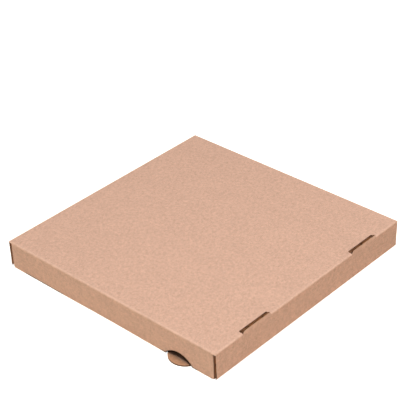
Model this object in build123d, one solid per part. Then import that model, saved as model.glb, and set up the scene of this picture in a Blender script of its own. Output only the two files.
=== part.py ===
from build123d import *
import os
from math import sqrt

# Pizza box of single-wall corrugated board, cut and creased from one sheet and locked without glue.
# The walled cover stands over a flat panel whose flaps tuck inside it, and both join at one hinge fold.
# Millimetres. X runs along the front wall, Y from the front wall to the hinge fold and Z up from the table.
# The origin lies on the table under the middle of the closed box.

# The closed box
box_width = 304.0
box_depth = 304.0
box_height = 33.0
board = 1.5
fold_radius = 1.8
layer_slack = 0.2

# Cover: walls that end at the four upright corners
corner_radius = 3.2
corner_slack = 1.2
corner_tab_length = 52.0
tab_end_radius = 9.0
wall_end_gap = 0.7
wall_end_taper = 0.4
inner_wall_gap = 0.6

# Cover: two locks along the front fold
lock_spacing = 178.5
lock_slot_length = 42.5
lock_slot_depth = 6.2
lock_corner_radius = 1.6
lock_strip_rise = 3.0
lock_strip_radius = 3.0
lock_tab_length = 37.5
lock_tab_recess = 1.2

# Half-moon tabs of the lower panel and the notches that let them out
moon_from_front = 49.7
moon_chord = 34.0
moon_rise = 11.2
notch_from_front = 49.5
notch_chord = 36.5
notch_rise = 8.8

# Lower panel and its tuck-in flaps
side_clearance = 1.0
front_clearance = 0.7
side_flap_height = 28.0
side_flap_setback = 7.0
side_flap_rear_setback = 14.0
side_flap_front_taper = 6.0
side_flap_rear_taper = 24.0
front_flap_height = 27.0
front_flap_end_gap = 3.0
front_flap_taper = 7.0
flap_corner_radius = 10.0
hinge_gap = 0.1

# Worked out from the sizes above
double_wall = 3 * board + corner_slack + layer_slack
tab_inset = board + corner_slack
panel_lap = corner_radius + double_wall
front_face = -box_depth / 2
rear_face = box_depth / 2
under_panel = box_height - board - layer_slack
over_roll = board + layer_slack
flap_face_x = box_width / 2 - board - side_clearance
crease_x = flap_face_x - board / 2
moon_y = front_face + moon_from_front
notch_y = front_face + notch_from_front

# The bend of the hinge fold, its mitre plane and the line on its outer face that it turns about
fold_centre_y = rear_face - fold_radius
hinge_mitre = Plane(origin=(0, fold_centre_y, fold_radius), z_dir=(0, 1, 1))
hinge_y = fold_centre_y + fold_radius / sqrt(2)
hinge_z = fold_radius - fold_radius / sqrt(2)

# The cover's front wall rises past the front flap on an arc about the hinge, which leans in by this much
swing_room = max(front_flap_height, side_flap_height) ** 2 / (2 * box_depth)
front_flap_y = front_face + double_wall + front_clearance + swing_room


def folded_board(points, across, width, radius=fold_radius):
    """Board of one thickness whose middle runs through the points, turning on a round fold at each corner."""
    path = FilletPolyline(*points, radius=radius - board / 2)
    section = Plane(origin=path @ 0, x_dir=across, z_dir=path % 0) * Rectangle(width, board)
    return sweep(section, path=path)


def span(x, y, z):
    """Box between two limits along each axis."""
    size = Vector(x[1] - x[0], y[1] - y[0], z[1] - z[0])
    return Pos(x[0], y[0], z[0]) * Box(*size, align=(Align.MIN, Align.MIN, Align.MIN))


def round_top(solid, radius, along):
    """Round the upper corners of an upright tab whose thickness runs along the given axis."""
    return fillet(solid.edges().filter_by(along).group_by(Axis.Z)[-1], radius)


def tapered_window(plane, half_base, half_top, top, radius):
    """Block that trims upright board to a flap with slanted ends and rounded upper corners."""
    outline = Polyline(
        (-half_base[0], -board), (half_base[1], -board), (half_base[1], fold_radius),
        (half_top[1], top), (-half_top[0], top), (-half_base[0], fold_radius), close=True)
    face = make_face(outline)
    face = fillet(face.vertices().group_by(Axis.Y)[-1], radius)
    return extrude(plane * face, amount=box_width + box_depth, both=True)


def moon_circle(chord, rise):
    """Radius of the circle that cuts a half-moon with this chord and rise."""
    return (chord ** 2 / 4 + rise ** 2) / (2 * rise)


def cover_sides():
    """Upper panel and both side walls, up to where each wall starts to turn into its corner tabs."""
    x = box_width / 2 - board / 2
    z = box_height - board / 2
    length = box_depth - 2 * (tab_inset + corner_radius)
    sides = folded_board([(-x, 0, 0), (-x, 0, z), (x, 0, z), (x, 0, 0)], (0, 1, 0), length)
    notch_radius = moon_circle(notch_chord, notch_rise)
    notch = Pos(0, notch_y, notch_rise - notch_radius) * Rot(0, 90, 0) * Cylinder(notch_radius, box_width * 2)
    return sides - notch + side_fold_ends(x, z, length / 2)


def side_fold_ends(x, z, wall_end):
    """The panel's side folds run on to its corners, above the wall ends, and round off at the front and rear folds."""
    reach = box_depth / 2 - layer_slack / 2
    folds = folded_board([(-x, 0, 0), (-x, 0, z), (x, 0, z), (x, 0, 0)], (0, 1, 0), box_depth)
    corners = span((-box_width, box_width), (-reach, reach), (-board, box_height - layer_slack / 2))
    corners = fillet(corners.edges().filter_by(Axis.X).group_by(Axis.Z)[-1], fold_radius)
    beyond_walls = [span((-box_width, box_width), y, (under_panel, box_height))
                    for y in ((-box_depth, -wall_end), (wall_end, box_depth))]
    return folds & corners & (beyond_walls[0] + beyond_walls[1])


def wall_end_wedges(y):
    """Wedges that cut both ends of a front or rear wall on a slant, up to the ends of the panel's side folds."""
    fold_end = box_width / 2 - fold_radius * 2 / 3
    top = box_width / 2 - wall_end_gap
    bottom = top - wall_end_taper
    beyond = box_width / 2 + board
    outline = Polyline(
        (fold_end, box_height + board), (fold_end, under_panel), (top, under_panel), (bottom, 0), (bottom, -board),
        (beyond, -board), (beyond, box_height + board), close=True)
    wedge = Pos(0, y[0], 0) * extrude(Plane.XZ * make_face(outline), amount=y[0] - y[1])
    return wedge + mirror(wedge, about=Plane.YZ)


def cover_front():
    """Double front wall: down the outer layer, round the roll-over and up the inner layer to the panel."""
    outer = front_face + board / 2
    inner = front_face + double_wall - board / 2
    top = box_height - board / 2
    points = [(0, front_face + panel_lap, top), (0, outer, top), (0, outer, board / 2), (0, inner, board / 2),
              (0, inner, under_panel)]
    wall = folded_board(points, (1, 0, 0), box_width - 2 * wall_end_gap)
    wall -= wall_end_wedges((front_face - board, front_face + panel_lap))
    inner_end = box_width / 2 - corner_radius - inner_wall_gap
    inner_layer = (front_face + fold_radius + layer_slack / 2, front_face + double_wall)
    for side in (-1, 1):
        x = sorted((side * inner_end, side * box_width))
        wall -= span(x, inner_layer, (-board, box_height - board))
    return wall


def add_lock(cover, x):
    """Slot in the panel, the strip of front wall that stays upright in front of it and the tab locked in it."""
    half = lock_slot_length / 2
    slot_front = front_face + board
    slot_back = front_face + lock_slot_depth
    slot = span((x - half, x + half), (slot_front, slot_back), (box_height - 2 * board, box_height + board))
    slot = fillet(slot.edges().filter_by(Axis.Z).group_by(Axis.Y)[-1], lock_corner_radius)
    strip = span((x - half, x + half), (front_face, slot_front),
                 (box_height - 2 * fold_radius, box_height + lock_strip_rise))
    strip = round_top(strip, lock_strip_radius, Axis.Y)
    half = lock_tab_length / 2
    tab = span((x - half, x + half), (front_face + double_wall - board, front_face + double_wall),
               (under_panel - board, box_height - lock_tab_recess))
    tab = round_top(tab, lock_corner_radius / 2, Axis.Y)
    return cover - slot + strip + tab


def cover_rear():
    """Rear wall, from the panel down to the upper half of the hinge fold."""
    y = rear_face - board / 2
    top = box_height - board / 2
    points = [(0, rear_face - panel_lap, top), (0, y, top), (0, y, board / 2), (0, rear_face - panel_lap, board / 2)]
    wall = folded_board(points, (1, 0, 0), box_width - 2 * wall_end_gap)
    wall = split(wall, bisect_by=hinge_mitre.offset(hinge_gap / 2), keep=Keep.TOP)
    return wall - wall_end_wedges((rear_face - panel_lap, rear_face + board))


def corner_wrap(side, end):
    """End of a side wall that turns round an upright corner into a tab behind the front or rear wall."""
    x = box_width / 2 - board / 2
    y = box_depth / 2 - tab_inset - board / 2
    z = (over_roll + under_panel) / 2
    lap = 2 * corner_radius
    points = [(side * x, end * (y - lap), z), (side * x, end * y, z),
              (side * (box_width / 2 - corner_tab_length), end * y, z)]
    tab = folded_board(points, (0, 0, 1), under_panel - over_roll, corner_radius)
    if end < 0:
        foot = folded_board([(x, y, over_roll / 2) for x, y, z in points], (0, 0, 1), over_roll, corner_radius)
        turn = sorted((side * (box_width / 2 - corner_radius), side * box_width))
        tab += foot & span(turn, (-box_depth, box_depth), (0, over_roll))
    free_end = tab.edges().filter_by(Axis.Y).sort_by(Axis.X, reverse=side < 0)[:2]
    return fillet(free_end, tab_end_radius)


def walled_cover():
    cover = cover_sides() + cover_front() + cover_rear()
    for side in (-1, 1):
        cover = add_lock(cover, side * lock_spacing / 2)
        for end in (-1, 1):
            cover += corner_wrap(side, end)
    return cover


def side_flaps():
    """Both side flaps with the band of panel between them, trimmed to slanted, rounded ends."""
    front = front_flap_y + side_flap_setback
    rear = rear_face - side_flap_rear_setback
    middle = (front + rear) / 2
    x = crease_x
    z = board / 2
    points = [(-x, middle, side_flap_height), (-x, middle, z), (x, middle, z), (x, middle, side_flap_height)]
    flaps = folded_board(points, (0, 1, 0), rear - front)
    return flaps & tapered_window(
        Plane.YZ, (-front, rear), (-front - side_flap_front_taper, rear - side_flap_rear_taper),
        side_flap_height, flap_corner_radius)


def front_flap():
    """Front flap with the strip of panel behind it, trimmed to slanted, rounded ends."""
    y = front_flap_y + board / 2
    points = [(0, y + 2 * side_flap_setback, board / 2), (0, y, board / 2), (0, y, front_flap_height)]
    half = flap_face_x - front_flap_end_gap
    flap = folded_board(points, (1, 0, 0), 2 * half)
    half_top = half - front_flap_taper
    return flap & tapered_window(Plane.XZ, (half, half), (half_top, half_top), front_flap_height, flap_corner_radius)


def hinge_strip():
    """Rear strip of the lower panel with the lower half of the hinge fold."""
    y = rear_face - board / 2
    points = [(0, rear_face - 2 * side_flap_rear_setback, board / 2), (0, y, board / 2), (0, y, 2 * fold_radius)]
    strip = folded_board(points, (1, 0, 0), 2 * crease_x)
    return split(strip, bisect_by=hinge_mitre.offset(-hinge_gap / 2), keep=Keep.BOTTOM)


def add_moon(panel, side):
    """Half-moon cut out of a side flap's foot, which stays in the plane of the panel as a tab."""
    radius = moon_circle(moon_chord, moon_rise)
    fold_start = flap_face_x - fold_radius
    beyond = crease_x + 2 * moon_rise
    beside_fold = span(sorted((side * fold_start, side * beyond)), (front_face, rear_face), (-board, box_height))
    hole = Pos(side * flap_face_x, moon_y, board / 2 + moon_rise - radius) * Rot(0, 90, 0) * Cylinder(radius, 4 * board)
    disc = Pos(side * (crease_x + moon_rise - radius), moon_y, board / 2) * Cylinder(radius, board)
    root = Pos(side * -board, 0, 0) * beside_fold
    return panel - (hole & beside_fold) + (disc & root)


def flap_panel():
    fold_y = front_flap_y + fold_radius
    sheet = span((-crease_x, crease_x), (fold_y, rear_face - side_flap_rear_setback), (0, board))
    panel = sheet + side_flaps() + front_flap() + hinge_strip()
    for side in (-1, 1):
        panel = add_moon(panel, side)
    return panel


os.makedirs("parts", exist_ok=True)
for name, build in (("walled_cover", walled_cover), ("flap_panel", flap_panel)):
    export_step(build(), f"parts/{name}.step")
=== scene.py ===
from math import cos, pi, radians

import bmesh
import bpy
from mathutils import Euler, Matrix, Vector


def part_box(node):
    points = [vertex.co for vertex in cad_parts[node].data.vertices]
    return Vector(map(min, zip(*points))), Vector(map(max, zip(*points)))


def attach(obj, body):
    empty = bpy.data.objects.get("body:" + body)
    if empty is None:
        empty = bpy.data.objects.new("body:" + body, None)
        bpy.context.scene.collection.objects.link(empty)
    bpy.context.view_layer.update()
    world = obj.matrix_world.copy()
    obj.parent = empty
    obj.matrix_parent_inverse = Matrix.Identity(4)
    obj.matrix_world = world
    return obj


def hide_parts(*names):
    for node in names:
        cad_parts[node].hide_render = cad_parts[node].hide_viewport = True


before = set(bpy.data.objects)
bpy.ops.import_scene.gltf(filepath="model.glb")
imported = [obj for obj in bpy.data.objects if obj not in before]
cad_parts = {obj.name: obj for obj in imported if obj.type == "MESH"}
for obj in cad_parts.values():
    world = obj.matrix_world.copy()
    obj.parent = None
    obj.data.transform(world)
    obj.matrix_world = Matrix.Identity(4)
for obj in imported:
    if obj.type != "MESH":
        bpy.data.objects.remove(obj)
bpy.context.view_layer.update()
scene = bpy.context.scene


# Lower panel
# The half of the sheet that lies on the table, with two side flaps and a front flap that tuck up inside the
# walls. It is E-flute board: two kraft liners glued to a fluted paper core, die-cut and creased. A half-moon
# cut at the foot of each side flap stays flat when the flap is folded up, and shows as a tab outside.
box_width = 0.304
box_depth = 0.304
board = 0.0015
liner_thickness = 0.00014
core_recess = 0.0009
flute_pitch = 0.0032
flute_turn = 2 * pi / flute_pitch
fold_radius = 0.0018
flap_gap = 0.0010
flap_face = box_width / 2 - board - flap_gap
upright_zone = 0.0110

liner_kraft = (0.735, 0.456, 0.333, 1)
# The inside liner's browner kraft, darkened partly as painted shade for the half-moon tabs beside the walls.
inside_kraft_and_shade = (0.52, 0.275, 0.155, 1)
liner_shade = (0.52, 0.285, 0.180, 1)
liner_glint = (0.86, 0.60, 0.455, 1)
# Paler kraft of the folds: partly rubbed liner, partly a painted highlight.
crease_wear_and_highlight = (0.83, 0.540, 0.400, 1)
# Painted shade for the gap between a corner tab and the front wall's end.
painted_gap_shade = (0.16, 0.060, 0.025, 1)
# The fluting paper's brown, darkened partly as painted shade of the sunken cut.
fluting_kraft_and_shade = (0.20, 0.070, 0.026, 1)
flank_kraft = (0.44, 0.185, 0.075, 1)
# Painted shade: the hollows inside the open flutes are painted near black.
hollow_painted_shade = (0.022, 0.007, 0.002, 1)


class Shade:
    """A number, colour or vector of a material's nodes, with sums written as plain expressions."""

    def __init__(self, tree, socket=None):
        self.tree = tree
        self.socket = socket

    def node(self, kind, settings=(), inputs=(), output=0):
        """Add a node: its settings first, then the numbers, colours or links of its sockets."""
        node = self.tree.nodes.new(kind)
        for name, value in dict(settings).items():
            setattr(node, name, value)
        for name, value in dict(inputs).items():
            if isinstance(value, Shade):
                self.tree.links.new(value.socket, node.inputs[name])
            else:
                node.inputs[name].default_value = value
        return Shade(self.tree, node.outputs[output] if node.outputs else None)

    def math(self, operation, *values):
        return self.node("ShaderNodeMath", {"operation": operation}, enumerate(values))

    def __add__(self, other):
        return self.math("ADD", self, other)

    def __sub__(self, other):
        return self.math("SUBTRACT", self, other)

    def __rsub__(self, other):
        return self.math("SUBTRACT", other, self)

    def __mul__(self, other):
        return self.math("MULTIPLY", self, other)

    def __abs__(self):
        return self.math("ABSOLUTE", self)

    __radd__ = __add__

    def most(self, other):
        return self.math("MAXIMUM", self, other)

    def least(self, other):
        return self.math("MINIMUM", self, other)

    def sine(self):
        return self.math("SINE", self)

    def step(self, low, high):
        """Rises smoothly from 0 to 1 while this number goes from low to high."""
        return self.node("ShaderNodeMapRange", {"interpolation_type": "SMOOTHSTEP"},
                         {"Value": self, "From Min": low, "From Max": high})

    def tint(self, plain, marked):
        """The plain colour where this number is 0 and the marked one where it is 1."""
        return self.node("ShaderNodeMix", {"data_type": "RGBA"}, {0: self, 6: plain, 7: marked}, output=2)

    def axis(self, number):
        """One of this vector's three numbers."""
        return self.node("ShaderNodeSeparateXYZ", {}, {"Vector": self}, output=number)

    def noise(self, cells_per_metre, detail=2.0, stretch=(1, 1, 1), degrees=0):
        """Noise at this place, drawn out along one direction of the sheet where it is stretched."""
        place = self.node("ShaderNodeMapping", {}, {
            "Vector": self, "Scale": stretch, "Rotation": (0, 0, radians(degrees))})
        return self.node("ShaderNodeTexNoise", {}, {
            "Vector": place, "Scale": cells_per_metre, "Detail": detail})


def new_material(name):
    """An empty material, and the start that its nodes are added from."""
    material = bpy.data.materials.new(name)
    material.use_nodes = True
    material.node_tree.nodes.clear()
    return material, Shade(material.node_tree)


def matte_surface(start, colour, roughness, glint, relief):
    """Close the material: a matte surface with little glint, and a relief given as a height in metres."""
    bump = start.node("ShaderNodeBump", {}, {"Strength": 1.0, "Distance": 1.0, "Height": relief})
    shader = start.node("ShaderNodeBsdfPrincipled", {}, {
        "Base Color": colour, "Roughness": roughness, "Specular IOR Level": glint, "Normal": bump})
    start.node("ShaderNodeOutputMaterial", {}, {"Surface": shader})


def kraft_liner(name, kraft, fold_x, fold_front, fold_rear, fold_z, upright=None):
    """Uncoated kraft liner: cloudy mottle, fibres, faint washboard over the flutes, and folds painted paler,
    partly as rubbed liner and partly as a painted highlight. It has painted shade in the gap where a wall
    turns an upright corner, if there are any."""
    material, start = new_material(name)
    place = start.node("ShaderNodeTexCoord", output="Object")
    sheet = start.node("ShaderNodeUVMap", {"uv_map": "sheet"})
    x, y, z = (place.axis(number) for number in range(3))

    cloud = place.noise(70, 3, stretch=(1, 0.6, 1))
    mottle = place.noise(300, 3, stretch=(1, 0.8, 1))
    grain = place.noise(950, 2)
    strands = [place.noise(1000, 1, stretch=(0.22, 1, 1), degrees=turn) for turn in (12, 75, 130)]
    pale = strands[0].most(strands[1]).most(strands[2])
    dark = strands[0].least(strands[1]).least(strands[2])

    tone = 1 + (cloud - 0.5) * 0.12 + (mottle - 0.5) * 0.40 + (grain - 0.5) * 0.52
    colour = start.node("ShaderNodeMix", {"data_type": "RGBA", "blend_type": "MULTIPLY"},
                        {0: 1.0, 6: kraft, 7: tone}, output=2)
    colour = (dark.step(0.38, 0.25) * 0.50).tint(colour, liner_shade)
    colour = (pale.step(0.64, 0.78) * 0.45).tint(colour, liner_glint)

    # Folds are painted paler, partly as rubbed, crushed liner and partly as a painted highlight of the rounded
    # fold.
    aside = abs(fold_x - abs(x))
    ahead = (y - fold_front).least(fold_rear - y)
    level = abs(z - fold_z)
    from_fold = aside.most(level).least(ahead.most(level))
    rubbed_and_highlit = from_fold.step(0.0028, 0.0008) * (0.30 + mottle.step(0.35, 0.65) * 0.45)
    colour = rubbed_and_highlit.tint(colour, crease_wear_and_highlight)
    # Painted shade: a dark band on the corner tab's bend, where it turns into the gap behind the front wall's
    # end.
    if upright:
        from_corner = abs(abs(x) - upright[0]) + abs(abs(y) - upright[1])
        gap_shade_mask = from_corner.step(0.0014, 0.0007) * (fold_z - z).step(0.0015, 0.0024)
        colour = (gap_shade_mask * 0.85).tint(colour, painted_gap_shade)

    washboard = (sheet.axis(0) * flute_turn).sine()
    relief = washboard * 0.000006 + mottle * 0.00005 + grain * 0.00004 + (pale + dark) * 0.00002
    matte_surface(start, colour, 0.74 + grain * 0.16, 0.22, relief)
    return material


def open_flutes():
    """What a cut across the flutes shows between the liners: the fluting paper's wave, darkened partly as
    painted shade, over hollows painted near black as their shade.
    """
    material, start = new_material("open_flutes")
    place = start.node("ShaderNodeTexCoord", output="Object")
    sheet = start.node("ShaderNodeUVMap", {"uv_map": "sheet"})
    fuzz = place.noise(1400, 3)
    wave = 0.5 + (sheet.axis(0) * flute_turn + fuzz * 0.9).sine() * 0.38
    paper = abs(sheet.axis(1) - wave).step(0.30, 0.10)
    # Painted shade: the hollows between the waves are near black, and the wave's paper is darkened partly as
    # shade.
    colour = (paper * (0.45 + fuzz * 0.6)).tint(hollow_painted_shade, fluting_kraft_and_shade)
    matte_surface(start, colour, 0.92, 0.10, paper * 0.00010 + fuzz * 0.00006)
    return material


def flute_flank():
    """What a cut along the flutes shows between the liners: the side of one flute, torn here and there,
    where the hollow behind shows as painted shade.
    """
    material, start = new_material("flute_flank")
    place = start.node("ShaderNodeTexCoord", output="Object")
    fuzz = place.noise(1500, 2)
    paper = place.noise(420, 3, stretch=(0.35, 1, 1)).step(0.68, 0.46)
    colour = (paper * (0.65 + fuzz * 0.5)).tint(hollow_painted_shade, flank_kraft)
    matte_surface(start, colour, 0.92, 0.10, paper * 0.00012 + fuzz * 0.00006)
    return material


def divided_board(node, cuts):
    """The node's folded board without its CAD triangles, cut through along each axis at the places given."""
    weld = 1e-6
    bm = bmesh.new()
    bm.from_mesh(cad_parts[node].data)
    bmesh.ops.remove_doubles(bm, verts=bm.verts, dist=weld)
    bmesh.ops.dissolve_limit(bm, angle_limit=radians(0.2), verts=bm.verts, edges=bm.edges)
    for axis, places in enumerate(cuts):
        normal = Vector([float(i == axis) for i in range(3)])
        for place in places:
            everything = bm.verts[:] + bm.edges[:] + bm.faces[:]
            bmesh.ops.bisect_plane(bm, geom=everything, dist=weld, plane_co=normal * place, plane_no=normal)
    bm.normal_update()
    return bm


def faces_by_side(bm, sharp):
    """Group the faces that meet at less than the sharp angle: each side of the sheet and each cut edge."""
    side_of = {}
    sides = []
    for start in bm.faces:
        if start in side_of:
            continue
        members = []
        waiting = [start]
        side_of[start] = len(sides)
        while waiting:
            face = waiting.pop()
            members.append(face)
            for edge in face.edges:
                for other in edge.link_faces:
                    if other not in side_of and edge.calc_face_angle(pi) < sharp:
                        side_of[other] = len(sides)
                        waiting.append(other)
        sides.append(members)
    return side_of, sides


def is_cut_edge(members):
    """A strip about one board across is where the die cut the sheet, apart from the hinge fold's mitre."""
    inside = set(members)
    edges = {edge for face in members for edge in face.edges}
    rim = [edge for edge in edges if any(face not in inside for face in edge.link_faces)]
    area = sum(face.calc_area() for face in members)
    length = sum(edge.calc_length() for edge in rim)
    on_mitre = all(face.normal.y * face.normal.z > 0.45 for face in members)
    return 0.5 * board * length < 2 * area < 1.15 * board * length and not on_mitre


def across_flutes(point, level):
    """Distance across the flutes on the flat sheet. They run left to right, and the main panel is at the
    level."""
    if abs(point.x) > flap_face - fold_radius or box_depth / 2 - abs(point.y) > upright_zone:
        return point.y
    return (point.y + abs(point.z - level)) if point.y > 0 else (point.y - abs(point.z - level))


OUTSIDE_LINER, OPEN_FLUTES, INSIDE_LINER, FLUTE_FLANK = range(4)


def open_cut_edges(bm, cut_faces, sheet):
    """Keep a rim of each liner at the cut edges, and sink the core between them."""
    rims = bmesh.ops.inset_region(
        bm, faces=cut_faces, thickness=liner_thickness, depth=0.0, use_boundary=True)["faces"]
    for face in rims:
        face.smooth = False
        face.material_index = INSIDE_LINER
    walls = bmesh.ops.inset_region(
        bm, faces=cut_faces, thickness=liner_thickness / 20, depth=-core_recess, use_boundary=True)["faces"]
    for face in walls + cut_faces:
        run = [loop[sheet].uv.x for loop in face.loops]
        along_flutes = max(run) - min(run) < 0.25 * max(edge.calc_length() for edge in face.edges)
        face.smooth = False
        face.material_index = FLUTE_FLANK if along_flutes else OPEN_FLUTES


def board_from_solid(node, level, cuts, bend, materials):
    """The node's folded board, divided by the cuts, with its cut edges opened and its walls a little bent. The
    outside liner is the one whose large face is nearer to the level."""
    sharp = radians(30)
    large = (6 * board) ** 2
    bm = divided_board(node, cuts)
    side_of, sides = faces_by_side(bm, sharp)
    cut_faces = [face for members in sides if is_cut_edge(members) for face in members]
    by_area = sorted(range(len(sides)), key=lambda number: sum(face.calc_area() for face in sides[number]))
    outside, inside = sorted(by_area[-2:], key=lambda number: min(
        abs(face.calc_center_median().z - level) for face in sides[number] if face.calc_area() > large))

    sheet = bm.loops.layers.uv.new("sheet")
    for face in bm.faces:
        face.smooth = True
        face.material_index = INSIDE_LINER if side_of[face] == inside else OUTSIDE_LINER
        for loop in face.loops:
            on_outside = outside in [side_of[other] for other in loop.vert.link_faces]
            loop[sheet].uv = (across_flutes(loop.vert.co, level), float(not on_outside))
    for edge in bm.edges:
        edge.smooth = edge.calc_face_angle(pi) < sharp
    open_cut_edges(bm, cut_faces, sheet)

    low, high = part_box(node)
    for vertex in bm.verts:
        vertex.co += bend(vertex.co)
        vertex.co = Vector([max(low[i], min(high[i], vertex.co[i])) for i in range(3)])
    mesh = bpy.data.meshes.new(node + "_board")
    bm.to_mesh(mesh)
    bm.free()
    piece = bpy.data.objects.new(node + "_board", mesh)
    scene.collection.objects.link(piece)
    for material in materials:
        mesh.materials.append(material)
    return piece


def spaced(low, high, spacing, margin):
    """Even cuts between two limits, and one just inside each limit, so that the folds keep a crisp start."""
    count = round((high - low) / spacing)
    return [low + (high - low) * i / count for i in range(1, count)] + [low + margin, high - margin]


panel_cut = 0.012
fold_margin = 0.0028
across, flank = open_flutes(), flute_flank()
panel_low, panel_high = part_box("flap_panel")
panel_folds = (flap_face, panel_low.y, box_depth / 2, 0)
panel = board_from_solid(
    "flap_panel", 0,
    (spaced(-flap_face, flap_face, panel_cut, fold_margin),
     spaced(panel_low.y, box_depth / 2, panel_cut, fold_margin),
     spaced(0, panel_high.z, 0.0070, fold_margin)),
    lambda point: Vector(),
    (kraft_liner("panel_outside_liner", liner_kraft, *panel_folds), across,
     kraft_liner("panel_inside_liner", inside_kraft_and_shade, *panel_folds), flank))
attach(panel, "lower_panel")
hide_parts("flap_panel")


# Walled cover
# The half of the sheet that stands over the lower panel: the large upper panel, both side walls, whose ends
# turn in as corner tabs, the double front wall, rolled over and locked through two slots, and the rear wall.
box_height = 0.033
wall_wander = 0.0005
wander_waves = 1.35
wander_start = 0.12
wander_ease = 8
front_end_gap = 0.0004


def cover_bow(point):
    """Side walls wander by about half a millimetre towards their free edges, as handled board does. The ends
    of the front wall stand a little clear of the corners at the foot."""
    outward = 1 if point.x > 0 else -1
    aside = abs(point.x)
    hang = max(0.0, (box_height - fold_radius - point.z) / box_height) ** 1.5
    if point.y < 1.1 * board - box_depth / 2 and aside > box_width / 2 - 1.4 * board:
        return Vector((-front_end_gap * hang * outward, 0, 0))
    if aside < box_width / 2 - 1.2 * board or abs(point.y) > box_depth / 2 - 4 * board:
        return Vector()
    along = point.y / box_depth + 0.5
    ease = min(1.0, wander_ease * along, wander_ease * (1 - along))
    wander = cos(2 * pi * (along - wander_start) * wander_waves)
    return Vector((wall_wander * wander * hang * ease * outward, 0, 0))


# Where the painted shade of the corner gaps lies on the corner tabs' bends.
painted_shade_corner = (box_width / 2 - 0.0017, box_depth / 2 - 0.00305)
cover_folds = (box_width / 2, -box_depth / 2, box_depth / 2, box_height)
cover = board_from_solid(
    "walled_cover", box_height,
    (spaced(-box_width / 2, box_width / 2, panel_cut, fold_margin),
     spaced(-box_depth / 2, box_depth / 2, panel_cut, 0.0070),
     spaced(0, box_height, 0.0066, fold_margin)),
    cover_bow,
    (kraft_liner("cover_outside_liner", liner_kraft, *cover_folds, painted_shade_corner), across,
     kraft_liner("cover_inside_liner", inside_kraft_and_shade, *cover_folds), flank))
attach(cover, "cover")
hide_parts("walled_cover")


# Table top
# A wide pale sheet under the box, white to the camera as in the photograph. It keeps a faint shadow beside
# the box and throws soft light back up on the walls.
table_radius = 6.0
warm_white = (0.82, 0.755, 0.64, 1)
unlit = (0, 0, 0, 1)
pale_glow = (0.80, 0.80, 0.80, 1)

bm = bmesh.new()
bmesh.ops.create_circle(bm, cap_ends=True, segments=96, radius=table_radius)
mesh = bpy.data.meshes.new("table_top")
bm.to_mesh(mesh)
bm.free()
table = bpy.data.objects.new("table_top", mesh)
scene.collection.objects.link(table)
material, start = new_material("white_table")
seen = start.node("ShaderNodeLightPath", output="Is Camera Ray")
shader = start.node("ShaderNodeBsdfPrincipled", {}, {
    "Base Color": warm_white, "Roughness": 0.9, "Specular IOR Level": 0.0,
    "Emission Color": seen.tint(unlit, pale_glow), "Emission Strength": 1.0})
start.node("ShaderNodeOutputMaterial", {}, {"Surface": shader})
mesh.materials.append(material)


# Lights
# A large softbox hangs over the box, a little in front of it. Two low ones light a wall each from the far side
# of the other, so that neither shines into the slit at the near corner, and a dim white tent fills the rest.
def softbox(name, place, aim, size, energy, colour=(1, 1, 1)):
    """A rectangular lamp that faces the place it is aimed at."""
    lamp = bpy.data.objects.new(name, bpy.data.lights.new(name, "AREA"))
    scene.collection.objects.link(lamp)
    lamp.data.shape = "RECTANGLE"
    lamp.data.size, lamp.data.size_y = size
    lamp.data.energy = energy
    lamp.data.color = colour
    lamp.location = place
    lamp.rotation_euler = (Vector(aim) - lamp.location).to_track_quat("-Z", "Y").to_euler()


wall_middle = (0, 0, 0.015)
softbox("overhead_softbox", (-0.22, -0.42, 1.78), (0, 0, 0), (1.2, 1.2), 33.8)
softbox("left_fill", (-2.15, 0.55, 0.25), wall_middle, (1.0, 0.32), 10.4, colour=(1.0, 0.98, 0.91))
softbox("front_fill", (-0.20, -2.30, 0.22), wall_middle, (0.6, 0.32), 5.3, colour=(1.0, 0.80, 0.73))

tent_light = 0.06
world = bpy.data.worlds.new("white_tent")
scene.world = world
world.use_nodes = True
world.node_tree.nodes.clear()
start = Shade(world.node_tree)
seen = start.node("ShaderNodeLightPath", output="Is Camera Ray")
sky = start.node("ShaderNodeBackground", {}, {
    "Color": (1, 1, 1, 1), "Strength": tent_light + seen * (1 - tent_light)})
start.node("ShaderNodeOutputWorld", {}, {"Surface": sky})


# Camera
# It looks down on the box's near left corner through a long lens held a little out of level. Its direction,
# lens and stand-off were worked out from the corners and edges that the photograph shows.
azimuth = radians(-46.65)
elevation = radians(32.50)
roll = radians(-2.07)
stand_off = Vector((-0.0052, 0.0615, 1.4448))

camera = bpy.data.objects.new("camera", bpy.data.cameras.new("camera"))
scene.collection.objects.link(camera)
scene.camera = camera
turn = Euler((pi / 2 - elevation, 0, azimuth)).to_matrix() @ Matrix.Rotation(roll, 3, "Z")
camera.matrix_world = Matrix.Translation(turn @ stand_off) @ turn.to_4x4()
camera.data.sensor_width = 36.0
camera.data.lens = 116.6
scene.view_settings.view_transform = "Standard"
